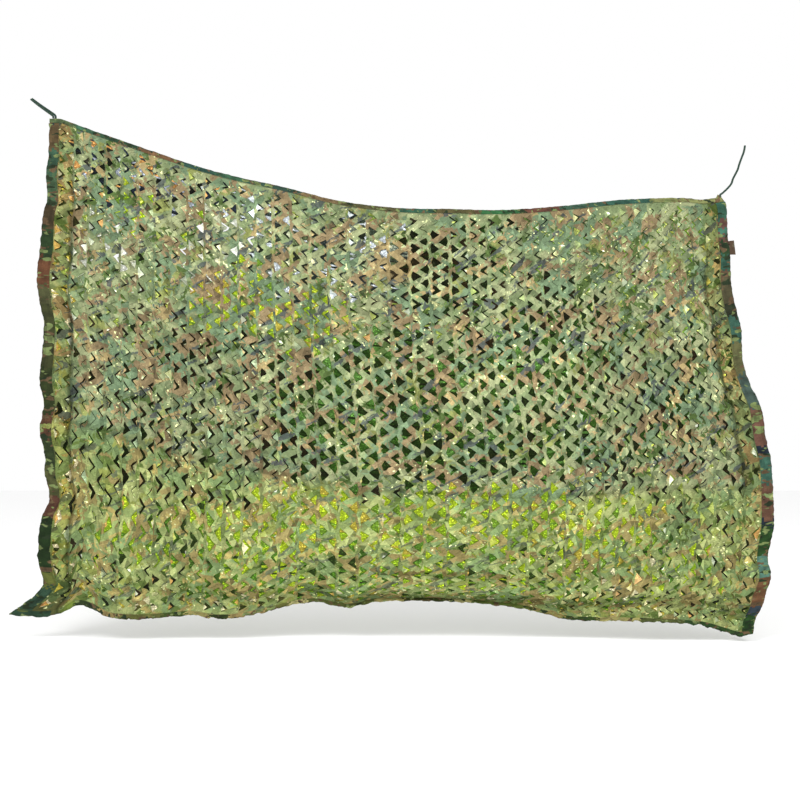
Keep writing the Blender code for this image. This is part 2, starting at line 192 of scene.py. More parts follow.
# Each edge of the flat cloth, and the inner line of the tape on it, by the station along them
EDGES = {
    "top": (lambda at: (at, 0.0), lambda at: (at, HEADING_INNER)),
    "bottom": (lambda at: (at, NET_DROP), lambda at: (at, HEM_INNER)),
    "left": (lambda at: (0.0, at), lambda at: (SIDE_INNER, at)),
    "right": (lambda at: (NET_WIDTH, at), lambda at: (NET_WIDTH - SIDE_INNER, at)),
}


def border_frame(name, station):
    """Edge and inner line of a border at one station, the way square out of it, and its front side."""
    edge, inner = EDGES[name]
    rim, root = hang(*edge(station)), hang(*inner(station))
    onward = (hang(*edge(station + STEP)) - hang(*edge(station - STEP))).normalized()
    outward = rim - root
    outward = (outward - onward * outward.dot(onward)).normalized()
    front = outward.cross(onward)
    return rim, root, outward, front if front.y < 0 else -front


for corner in ((0, 0), (NET_WIDTH, 0), (0, NET_DROP), (NET_WIDTH, NET_DROP)):
    print("corner", corner, "hangs at", tuple(round(value, 3) for value in hang(*corner)))

# %% [markdown]
# ## Camera, floor and light
#
# The photograph looks straight at the net from a few metres away. A camera 5.6 m off with a 60 mm lens sees
# 3.36 m across, which is 4.2 mm for each pixel of an 800 pixel frame. The stage is plain: a pale floor just
# under the hem, a pale world that fills every shadow softly, and two large soft lamps from the front.

# %% Camera and stage
VIEW_DISTANCE, VIEW_HEIGHT, LENS = 5.6, -0.8064, 60
FLOOR_HEIGHT, FLOOR_SIDE, FLOOR_FRONT, FLOOR_BACK = -1.800, 9, -7, 9
WHITE = (1.0, 1.0, 1.0, 1.0)

camera = bpy.data.objects.new("camera", bpy.data.cameras.new("camera"))
camera.location = (0, -VIEW_DISTANCE, VIEW_HEIGHT)
camera.rotation_euler = (math.pi / 2, 0, 0)
camera.data.lens = LENS
scene.collection.objects.link(camera)
scene.camera = camera
scene.view_settings.view_transform = "Standard"

world = bpy.data.worlds.new("soft_studio")
world.use_nodes = True
world.node_tree.nodes["Background"].inputs["Color"].default_value = WHITE
world.node_tree.nodes["Background"].inputs["Strength"].default_value = 1.0
scene.world = world

LAMPS = table("x y z width watts", (-2.6, -4.2, 3.2, 2.4, 170), (3.0, -3.0, 2.4, 2.0, 90))
for number, lamp in enumerate(LAMPS):
    light = bpy.data.lights.new(f"soft_lamp_{number + 1}", "AREA")
    light.size, light.energy = lamp.width, lamp.watts
    holder = bpy.data.objects.new(light.name, light)
    holder.location = (lamp.x, lamp.y, lamp.z)
    aim = Vector((0, 0, VIEW_HEIGHT)) - holder.location
    holder.rotation_euler = aim.to_track_quat("-Z", "Y").to_euler()
    scene.collection.objects.link(holder)

floor_mesh = bpy.data.meshes.new("floor")
floor_corners = [(-FLOOR_SIDE, FLOOR_FRONT), (FLOOR_SIDE, FLOOR_FRONT), (FLOOR_SIDE, FLOOR_BACK),
                 (-FLOOR_SIDE, FLOOR_BACK)]
floor_mesh.from_pydata([(x, y, FLOOR_HEIGHT) for x, y in floor_corners], [], [(0, 1, 2, 3)])
floor = bpy.data.objects.new("floor", floor_mesh)
scene.collection.objects.link(floor)
print("camera at", tuple(camera.location), "floor at", FLOOR_HEIGHT)

# %% [markdown]
# ## Writing finishes as sums
#
# A finish in Blender is a web of nodes. Joining them by hand hides what they do, so one small class wraps a
# socket and lets it be added, multiplied and compared like a number. Every other node comes from one method,
# which takes the kind of node, its settings, and what goes into its sockets.

# %% Sockets that can be added up
def sign(operation, turned=False):
    """What one of Python's signs does to a socket; turned is for a number that stands before the socket."""
    return lambda wire, other: wire.sum(operation, *((other, wire) if turned else (wire, other)))


class Wire:
    """One output socket of a finish."""

    def __init__(self, finish, socket):
        self.finish, self.socket = finish, socket

    def sum(self, operation, *values):
        return self.finish.node("ShaderNodeMath", {"operation": operation}, dict(enumerate(values)))

    __add__, __radd__ = sign("ADD"), sign("ADD", turned=True)
    __sub__, __rsub__ = sign("SUBTRACT"), sign("SUBTRACT", turned=True)
    __mul__, __rmul__ = sign("MULTIPLY"), sign("MULTIPLY", turned=True)
    __gt__, __lt__ = sign("GREATER_THAN"), sign("LESS_THAN")

    def apart(self, other):
        """How far this value is from another, without its sign."""
        return self.sum("ABSOLUTE", self - other)

    def wave(self):
        return self.sum("SINE", self)


def paint(code):
    """A colour written as a painter's code, such as 7f9a6b, as the numbers that a shader wants."""
    parts = [int(code[i:i + 2], 16) / 255 for i in (0, 2, 4)]
    return (*[c / 12.92 if c <= 0.04045 else ((c + 0.055) / 1.055) ** 2.4 for c in parts], 1.0)


# %% Finishes
MIX_PART, MIX_FIRST, MIX_SECOND, MIX_RESULT = 0, 6, 7, 2     # the sockets by which a Mix node takes colours


class Finish:
    """A material whose nodes are written as sums."""

    def __init__(self, name, roughness, gloss=0.5, colour=None):
        self.material = bpy.data.materials.new(name)
        self.material.use_nodes = True
        self.tree = self.material.node_tree
        self.surface = self.tree.nodes["Principled BSDF"]
        self.surface.inputs["Roughness"].default_value = roughness
        self.surface.inputs["Specular IOR Level"].default_value = gloss
        if colour:
            self.surface.inputs["Base Color"].default_value = colour

    def node(self, kind, settings, sockets, output=0):
        """Makes any node: first its settings, then what goes into its sockets."""
        made = self.tree.nodes.new(kind)
        for setting, value in settings.items():
            setattr(made, setting, value)
        for socket, value in sockets.items():
            if isinstance(value, Wire):
                self.tree.links.new(value.socket, made.inputs[socket])
            else:
                made.inputs[socket].default_value = value
        return Wire(self, made.outputs[output])

    def flat_map(self):
        """Where a point lies on the flat piece."""
        return self.node("ShaderNodeUVMap", {"uv_map": "flat"}, {})

    def written(self, name, output):
        """What add_tints wrote into the faces."""
        return self.node("ShaderNodeAttribute", {"attribute_name": name}, {}, output)

    def axis(self, vector, name):
        return self.node("ShaderNodeSeparateXYZ", {}, {0: vector}, name)

    def vector(self, operation, sockets, output=0):
        return self.node("ShaderNodeVectorMath", {"operation": operation}, sockets, output)

    def scaled(self, colour, level):
        return self.vector("SCALE", {0: colour, "Scale": level})

    def blend(self, first, second, part, how="MIX"):
        return self.node("ShaderNodeMix", {"data_type": "RGBA", "blend_type": how},
                         {MIX_PART: part, MIX_FIRST: first, MIX_SECOND: second}, MIX_RESULT)

    def noise(self, place, size, seed, detail=2.0, twist=0.0):
        """Cloudy noise whose clouds are about this many metres across."""
        return self.node("ShaderNodeTexNoise", {"noise_dimensions": "4D"},
                         {"Vector": place, "W": seed, "Scale": 1 / size, "Detail": detail,
                          "Distortion": twist})

    def patch(self, value, low, high):
        """0 below low and 1 above high: a patch of print with a slightly soft edge."""
        return self.node("ShaderNodeMapRange", {"interpolation_type": "SMOOTHSTEP"},
                         {"Value": value, "From Min": low, "From Max": high})

    def show(self, colour, height, depth):
        """Gives the surface its colour, and a fine relief of this depth."""
        self.tree.links.new(colour.socket, self.surface.inputs["Base Color"])
        bump = self.node("ShaderNodeBump", {}, {"Height": height, "Distance": depth})
        self.tree.links.new(bump.socket, self.surface.inputs["Normal"])
        return self.material


FLOOR_COLOUR = (0.92, 0.92, 0.92, 1.0)
floor_mesh.materials.append(Finish("pale_floor", 0.9, colour=FLOOR_COLOUR).material)
print("floor painted")

# %% [markdown]
# ## The ties
#
# Each tie is a braided cord of 9 mm, pulled straight by what the net hangs from. The left one is doubled,
# and the right one has a kink or two left in it. A curve with a round bevel would give a smooth rod. Here the
# tube is laid point by point round the same line instead, so that the strands of the braid can stand up a
# little.

# %% The ties' routes
CORD, STRAND_SPACING, CORD_LIFT, CORD_DEPTH = 0.009, 0.0098, 0.0007, 0.0
STRAND_TURNS = (0.07, 0.17)      # how far the left tie's strands are wound, at the heading and at the end
LEFT_EXIT_ALONG, RIGHT_EXIT_ALONG = 0.020, 2.998
LEFT_ROUTE = table("x z", (-1.459, 0.393), (-1.486, 0.412), (-1.517, 0.434), (-1.548, 0.458))
RIGHT_ROUTE = table("x z", (1.354, 0.062), (1.379, 0.086), (1.392, 0.103), (1.398, 0.121), (1.408, 0.141),
                    (1.418, 0.161), (1.425, 0.184), (1.434, 0.209), (1.444, 0.236), (1.449, 0.262))
CORD_STATIONS, CORD_SIDES = 150, 16
BRAID_PITCH, BRAID_RISE, BRAID_STRANDS = 0.011, 0.06, 4


def route_point(points, share):
    """A place on a smooth curve through the points, by its share of the distance from point to point."""
    distances = [0.0]
    for first, second in zip(points, points[1:]):
        distances.append(distances[-1] + (second - first).length)
    at = share * distances[-1]
    return Vector([reading(list(zip(distances, axis)), at) for axis in zip(*points)])


def tie_line(exit_along, route, sideways=0.0):
    """The middle line of a tie, from the heading to its end."""
    heading, _, upward, _ = border_frame("top", exit_along)
    start = heading + upward * (SEAM_GAP + TAPE + CORD_LIFT)
    points = [start, start + upward * CORD] + [Vector((row.x, CORD_DEPTH, row.z)) for row in route]
    line = []
    for index in range(CORD_STATIONS):
        share = index / (CORD_STATIONS - 1)
        ahead = route_point(points, min(share + STEP, 1.0)) - route_point(points, max(share - STEP, 0.0))
        ahead.normalize()
        angle = math.tau * mix(*STRAND_TURNS, share)
        beside = Vector((ahead.z * math.cos(angle), math.sin(angle), -ahead.x * math.cos(angle)))
        line.append(route_point(points, share) + beside * sideways)
    return line


def strip_faces(steps, columns):
    """Four-cornered faces between rows of points, row by row."""
    lows = [step * (columns + 1) + number for step in range(steps) for number in range(columns)]
    return [(low, low + 1, low + columns + 2, low + columns + 1) for low in lows]


def new_piece(name, points, faces, finish, flat=None, smooth=True):
    """A mesh object on the net's one body, with a map of where each point lies on the flat cloth."""
    mesh = bpy.data.meshes.new(name)
    mesh.from_pydata(points, [], faces)
    mesh.validate()
    if flat:
        layer = mesh.uv_layers.new(name="flat")
        for loop in mesh.loops:
            layer.data[loop.index].uv = flat[loop.vertex_index]
    for polygon in mesh.polygons:
        polygon.use_smooth = smooth
    mesh.materials.append(finish)
    piece = bpy.data.objects.new(name, mesh)
    scene.collection.objects.link(piece)
    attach(piece, "root")
    return piece


def add_tints(piece, tints, lit):
    """Writes the colour and the brightness of each face into the mesh, for the finish to read."""
    layer = piece.data.attributes.new("tint", "FLOAT_COLOR", "FACE")
    layer.data.foreach_set("color", [value for tint in tints for value in tint])
    layer = piece.data.attributes.new("lit", "FLOAT", "FACE")
    layer.data.foreach_set("value", lit)


def make_tie(name, line, finish, node):
    """A braided tube round a line, closed at both ends."""
    points, flat, faces, run = [], [], [], 0.0
    for index, place in enumerate(line):
        before, after = line[max(index - 1, 0)], line[min(index + 1, len(line) - 1)]
        run += (place - line[index - 1]).length if index else 0.0
        ahead = (after - before).normalized()
        up = ahead.cross(Vector((0, 1, 0))).normalized()
        out = ahead.cross(up)
        for side in range(CORD_SIDES):
            turn = math.tau * side / CORD_SIDES
            twist = math.tau * run / BRAID_PITCH
            weave = math.sin(BRAID_STRANDS * turn + twist) * math.sin(BRAID_STRANDS * turn - twist)
            radius = CORD / 2 * (1 - BRAID_RISE + BRAID_RISE * weave)
            points.append(place + (up * math.cos(turn) + out * math.sin(turn)) * radius)
            flat.append((run, side / CORD_SIDES))
    for index in range(len(line) - 1):
        for side in range(CORD_SIDES):
            low, high = index * CORD_SIDES, (index + 1) * CORD_SIDES
            beyond = (side + 1) % CORD_SIDES
            faces.append((low + side, low + beyond, high + beyond, high + side))
    faces.append(tuple(range(CORD_SIDES)))
    faces.append(tuple(len(points) - 1 - side for side in range(CORD_SIDES)))
    tie = new_piece(name, points, faces, finish, flat)
    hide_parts(node)
    tuple(line[0])
    [tuple(place) for place in line]
    print(f"{name}: {run * 1000:.0f} mm long, {len(faces)} faces")


# %% The cord's finish, and the ties themselves
cord = Finish("braided_cord", 0.6, gloss=0.25)
run_round = cord.flat_map()
turn = cord.axis(run_round, "Y") * math.tau * BRAID_STRANDS
twist = cord.axis(run_round, "X") * (math.tau / BRAID_PITCH)
left_hand, right_hand = (turn + twist).wave(), (turn - twist).wave()
strand = cord.patch(left_hand * right_hand, -0.4, 0.4)
fleck = cord.patch(cord.noise(run_round, 0.012, 3.0, 3.0), 0.56, 0.62) * 0.6
teal = cord.blend(paint("0b1d1b"), paint("1f403a"), strand)
fibre = cord.noise(run_round, 0.0012, 8.0)
cord_finish = cord.show(cord.blend(teal, paint("6f7c38"), fleck), fibre, 0.0004)

make_tie("left_tie_a", tie_line(LEFT_EXIT_ALONG, LEFT_ROUTE, -STRAND_SPACING / 2), cord_finish, "tie_left_1")
make_tie("left_tie_b", tie_line(LEFT_EXIT_ALONG, LEFT_ROUTE, STRAND_SPACING / 2), cord_finish, "tie_left_2")
make_tie("right_tie", tie_line(RIGHT_EXIT_ALONG, RIGHT_ROUTE), cord_finish, "tie_right")

# %% [markdown]
# ## The die-cut cloth
#
# The die leaves a staggered pattern: in each column the cuts point one way, in the next the other way, and
# half a pitch lower. Each cut leaves a tongue of cloth that stays joined along one side. Hung up, the ribbons
# between the cuts part a little, the tongues curl out of the plane, and the gaps show as dark arrowheads.
# Where the cloth is pulled wide open, the arrowheads grow into triangles.
#
# The mesh repeats that, cell by cell. A cell is a ring of ribbon round a curved cut, and a tongue inside it:
# its front part curls towards the viewer, and its rim turns away into the gap. Arrays or a bitmap of holes
# would be simpler, but then every cell would be alike, and a real net has no two tongues at the same angle.

# %% The lattice of cuts
LATTICE_ALONG, LATTICE_DOWN = 0.042, 0.022
# The lattice isn't drawn equally wide everywhere: width of a column of cuts, and height of one cell in it
COLUMN_WIDTH = table("along width", (0.0, 0.034), (0.3, 0.036), (0.8, 0.038), (1.2, 0.042), (1.5, 0.046),
                     (1.8, 0.043), (2.2, 0.037), (2.6, 0.032), (3.0, 0.030))
CELL_HEIGHT = table("down height", (0.0, 0.058), (0.35, 0.060), (0.6, 0.068), (0.9, 0.077), (1.2, 0.100),
                    (1.5, 0.124), (1.75, 0.124), (1.9, 0.080), (2.1, 0.060))


def spaced(first, last, pitch_rows, parts, group):
    """Lines from first to last, a share of the pitch apart, their number a whole multiple of a group."""
    lines = [first]
    while lines[-1] < last:
        lines.append(lines[-1] + reading(pitch_rows, min(lines[-1], last)) / parts)
    count = max(1, round((len(lines) - 1) / group)) * group
    lines = [lines[min(index, len(lines) - 1)] for index in range(count + 1)]
    return [first + (line - first) * (last - first) / (lines[-1] - first) for line in lines]


COLUMN_LINES = spaced(LATTICE_ALONG, NET_WIDTH - LATTICE_ALONG, COLUMN_WIDTH, 1, 1)
ROW_LINES = spaced(LATTICE_DOWN, NET_DROP - LATTICE_DOWN, CELL_HEIGHT, 2, 2)
COLUMNS, ROWS = len(COLUMN_LINES) - 1, (len(ROW_LINES) - 1) // 2
print("columns", COLUMNS, "rows", ROWS)

# %% The form of a cut
# One half of the cut of a gap that points right, from its upper tip to its point, in shares of the cell: as
# it lies where the cloth is slack, and how far it spreads where the cloth is pulled wide open
CUT = table("across down wide_across wide_down", (-0.37, -0.32, -0.12, -0.35), (-0.11, -0.215, 0.12, -0.24),
            (0.15, -0.11, 0.35, -0.12), (0.42, 0.0, 0.58, 0.0))
CUT = CUT + [row._replace(down=-row.down, wide_down=-row.wide_down) for row in reversed(CUT[:-1])]
LAST = len(CUT) - 1
SAG = (1.0, 1.30, 1.25, 1.0, 0.7, 0.6, 1.0)   # a tongue hangs down a little: its gap is wider above it
HINGE_BOW = 0.34          # how far the blunt side of a wide gap bows out, in shares of the cell
# How far the column lines swing out beside the gaps that point right, and beside the others
SWING, WIDE_SWING = (0.15, 0.15), (0.24, 0.10)
LESSER = 0.72             # the gaps that point left spread less than the others
NARROWEST, WIDEST = -0.45, 0.66
WIDE_CUT = 0.5            # a cut that spreads further than this may pass the line of its column

# What differs from cell to cell
ARM_BIAS = 0.75           # how unlike the two arms of a narrow gap may be
OPEN_SPREAD, LEAST_OPEN = 0.20, 0.05
CUT_SPREAD = (0.75, 1.0)
SIZE_SPREAD, TURN_SPREAD = 0.13, 0.13
CURL, LEAN = (0.002, 0.010), 0.7
JITTER, CUT_JITTER = 0.0030, 0.0022
CRUMPLE, CRUMPLE_SIZE = 0.012, 0.045
CLUSTER_SIZE, CLUSTER_SPREAD, CLUSTER_OPEN = 0.13, 0.90, 0.15   # glints and open gaps come in clusters
print("a cut has", len(CUT), "points")

# %% [markdown]
# ## What shows in the gaps
#
# Most of a net's look is what lies behind it: deep shade, lit leaves, bits of sky. Here the stage is plain,
# and a row of bare holes would show nothing but white. So the rim of each tongue, which turns away into the
# gap, carries that shade or green painted as its own colour. Some tongues also carry a painted glint of
# light.
# A few gaps in the pale parts are left really open.

# %% Kinds of shade
Kind = namedtuple("Kind", "shades glints glint_chance open_chance", defaults=[0.0])
# The shades are painted on the rims of the tongues: mostly painted shade, with the greens and pales of what
# shows behind the net. The glints are painted highlights on the tongues.
KINDS = {
    "black": Kind("0d0f05 121706 1c1608 101a06", "afb27e 8c7450 9ab08c", 0.10),
    "deep": Kind("0f1308 161f0b 221a0c 1a2c10 223c12", "a58a63 8a9a55 afb27e a9b598", 0.12),
    "green": Kind("1a2c0a 223c10 2f4e18 1a2a0c 161f0a 4a7030", "9aa86a b3a06a a9b598 8a9a55", 0.24),
    "warm": Kind("1a2a0c 223a12 14180a 2c4a18 1c160a", "b2834a b58a58 c09a68 9aa86a", 0.34),
    "navy": Kind("14181f 1c2430 0f110d b2834a 8f96a0 2b2a22", "b2834a bf974c c2bc97 a0a8a4 9a6a3c", 0.40),
    "sky": Kind("323c30 232b2a b7bfc4 4a5638 6a7364 1c2118", "b7bfc4 a9ac90 c2bc97 94855f", 0.44, 0.05),
    "pale": Kind("bdbfb5 9aa08c 23291c 5d6a48 a9ac90", "bdbfb5 c6c8b8 a9b09a c2bc97 b0a088", 0.72, 0.04),
    "lime": Kind("94aa25 a5b530 809e24 67882b 94aa25 a4973a", "a0ab46 94aa25 c2bc97 a4973a 8a9a55", 0.34),
    "sunny": Kind("67882b 4d7526 94aa25 809e24 3c5a20 2a3a18", "a0ab56 c2bc97 bf974c 94aa25", 0.26),
    "cream": Kind("2c3316 c2bc97 4a4a26 a4973a", "d0c8a0 c2bc97 c09a68 b8b484", 0.60),
    "leafy": Kind("3a4a26 67882b 465a2e a0ab56 2a3220", "a0ab56 94a46c afb27e a9b598", 0.16),
    "mixed": Kind("1c2214 afb27e 4a5f2c 2b2418 8a9a44 171b10", "afb27e a0ab56 b2834a b4bba6 96a482", 0.20),
    "sunlit": Kind("23240f c6bb94 a4973a 2e3216 8a7a3a 4a5222", "c6bb94 bf974c a4973a c2bc97 b2834a", 0.46),
    "dim": Kind("20240f 5a5c34 2c3418 6a6a3c 1c2410 8a8a52", "a4973a afb27e 8c7450 94a46c", 0.24),
}
print(len(KINDS), "kinds of shade")

# %% Where each kind shows
# By where the cloth hangs: how wide the gaps stand open, how far the cuts spread, and the kind of shade
PLACES = table("x z half_width half_height open wide kind",
               (0.095, -0.233, 0.08, 0.18, 0.88, 0.9, "black"), (0.32, -0.30, 0.17, 0.25, 0.50, 0.6, "deep"),
               (-1.19, 0.19, 0.17, 0.12, 0.66, 0.5, "navy"), (-0.86, 0.07, 0.16, 0.10, 0.55, 0.5, "navy"),
               (-1.22, -0.17, 0.16, 0.10, 0.34, 0.2, "pale"), (-0.80, -0.17, 0.15, 0.11, 0.34, 0.2, "pale"),
               (-0.70, -0.37, 0.20, 0.11, 0.60, 0.3, "lime"), (-1.12, 0.01, 0.08, 0.05, 0.60, 0.3, "lime"),
               (-0.93, -0.03, 0.07, 0.05, 0.60, 0.3, "lime"), (-0.40, -0.47, 0.18, 0.10, 0.50, 0.3, "lime"),
               (-0.30, -0.19, 0.32, 0.18, 0.52, 0.6, "sky"), (-0.62, -0.02, 0.20, 0.12, 0.50, 0.5, "sky"),
               (0.22, -0.86, 0.62, 0.31, 0.86, 0.9, "green"), (-0.34, -0.88, 0.24, 0.25, 0.74, 0.7, "warm"),
               (-1.27, -0.97, 0.07, 0.10, 0.45, 0.3, "warm"), (0.66, -0.46, 0.22, 0.14, 0.55, 0.5, "deep"),
               (-0.93, -0.88, 0.50, 0.36, 0.36, 0.3, "black"), (1.04, -0.80, 0.40, 0.32, 0.46, 0.5, "deep"),
               (0.12, -1.31, 0.98, 0.13, 0.84, 0.75, "lime"), (0.95, -1.545, 0.08, 0.08, 0.40, 0.3, "cream"),
               (-0.10, -1.67, 1.15, 0.04, 0.50, 0.3, "cream"), (-0.70, -1.37, 0.62, 0.14, 0.62, 0.6, "sunny"),
               (0.20, -1.52, 1.10, 0.15, 0.60, 0.4, "sunny"), (0.99, -0.25, 0.50, 0.28, 0.17, 0.2, "leafy"))
ELSEWHERE = PLACES[0]._replace(open=0.34, wide=0.3, kind="mixed")
LEFT_STRIP = PLACES[0]._replace(open=0.45, wide=0.3, kind="sunlit")
RIGHT_STRIP = PLACES[0]._replace(open=0.40, wide=0.3, kind="dim")
PLACE_POWER = 3           # a place is an oblong with round corners


def place_kind(along, down):
    """The row of PLACES for a place on the cloth."""
    if along < CREASE_FROM_EDGE:
        return LEFT_STRIP
    if along > NET_WIDTH - CREASE_FROM_EDGE:
        return RIGHT_STRIP
    at = hang(along, down)
    for place in PLACES:
        off = abs((at.x - place.x) / place.half_width), abs((at.z - place.z) / place.half_height)
        if off[0] ** PLACE_POWER + off[1] ** PLACE_POWER < 1:
            return place
    return ELSEWHERE


print("middle of the cloth:", place_kind(NET_WIDTH / 2, NET_DROP / 2).kind)

# %% Light on the cloth
# Painted light and shade: the brightness of each face is painted into its colour. It changes from fold to
# fold, pulled-open ribbons are painted brighter, and bent tongues get a painted sheen.
LIT_SIZE, LIT_SPREAD, LIT_JITTER, DIMMEST = 0.030, 0.80, 0.08, 0.4
WIDE_LIT = 1.50           # pulled open, the ribbons turn to face the light
TONGUE_LIT = (0.75, 1.60)
SHEEN, SHEEN_CHANCE = 1.6, 0.13   # bends in the tongues that catch the light
# Painted highlights: small bright specks painted on the tips of some tongues
PAINTED_GLINT_SPECKS = [paint(code) for code in ("d4d8c8", "b6bf4a", "c8c08a", "a0ab56", "c9cfa8")]
PAINTED_GLINT_SPECK_CHANCE = 0.045

chance = random.Random(20)


def stray(most):
    return chance.uniform(-most, most)


def clouds(along, down, layer, size):
    """Noise over the cloth, whose clouds are about this many metres across."""
    return noise.noise(Vector((along, down, layer)) / size)


def crumple(along, down):
    """Small bends that run through ribbons and tongues alike."""
    return CRUMPLE * clouds(along, down, 0.0, CRUMPLE_SIZE)


def lit_at(along, down, level=1.0):
    """How brightly the cloth is lit at a place: it changes from fold to fold."""
    return level * max(DIMMEST, 1 + LIT_SPREAD * clouds(along, down, 9.0, LIT_SIZE) + stray(LIT_JITTER))


print("light at the middle:", round(1 + LIT_SPREAD * clouds(NET_WIDTH / 2, NET_DROP / 2, 9.0, LIT_SIZE), 2))


# %% Collecting the cloth
class Cloth:
    """Points given on the flat cloth, and faces with a tint, its strength and how brightly they are lit. The
    tints are painted shade and painted glints; the brightness is painted light.
    """

    def __init__(self):
        self.flat, self.lift, self.faces, self.tints, self.lit = [], [], [], [], []

    def point(self, along, down, lift=0.0):
        self.flat.append((along, down))
        self.lift.append(lift)
        return len(self.flat) - 1

    def face(self, corners, tint=None, strength=1.0, lit=1.0):
        self.faces.append(corners)
        self.tints.append((*(tint or (0, 0, 0, 1))[:3], strength if tint else 0.0))
        self.lit.append(lit)

    def places(self):
        return [hang(*flat) - Vector((0, lift, 0)) for flat, lift in zip(self.flat, self.lift)]


def make_lines(cloth):
    """The points where the cells meet, by column line and half-row line, with the cloth's edges outermost."""
    alongs = [0.0] + COLUMN_LINES + [NET_WIDTH]
    downs = [0.0] + ROW_LINES + [NET_DROP]
    points = {}
    for i, along in enumerate(alongs):
        for j, down in enumerate(downs):
            shift_along = shift_down = lift = 0.0
            if 1 < i < len(alongs) - 2 and 1 < j < len(downs) - 2:
                shift_along, shift_down = stray(JITTER), stray(JITTER)
                lift = crumple(along, down) + stray(JITTER)
                swing = mix(SWING[j % 2], WIDE_SWING[j % 2], place_kind(along, down).wide)
                shift_along += swing * (alongs[i + 1] - along) * (-1 if (i + j) % 2 else 1)
            points[i, j] = cloth.point(along + shift_along, down + shift_down, lift)
    return points


# %% One cell
RIM_PAST = 0.0025         # the rim of a tongue reaches this far behind the edge of its gap
RIM_BACK = 0.007          # how far that rim turns away from the viewer
RIM_SPREAD = 5            # and how much further it spreads up and down
RIM_STRENGTH, ROOT_GLINT, TIP_GLINT = 0.98, 0.7, 0.8     # how much of the print a tint hides
LEAST_REACH, LEAST_SPAN = 0.04, 0.01
STRAY_SHADE = 0.25        # how often a stretch of the rim has another shade than the rest
TONGUE = table("part rise", (0.5, 0.55), (1.0, 1.0))     # its root and its tip


def strip_between(before, now):
    """The corners of each face between two rows of points that share their ends."""
    for first in range(LAST):
        yield list(dict.fromkeys((before[first], now[first], now[first + 1], before[first + 1])))


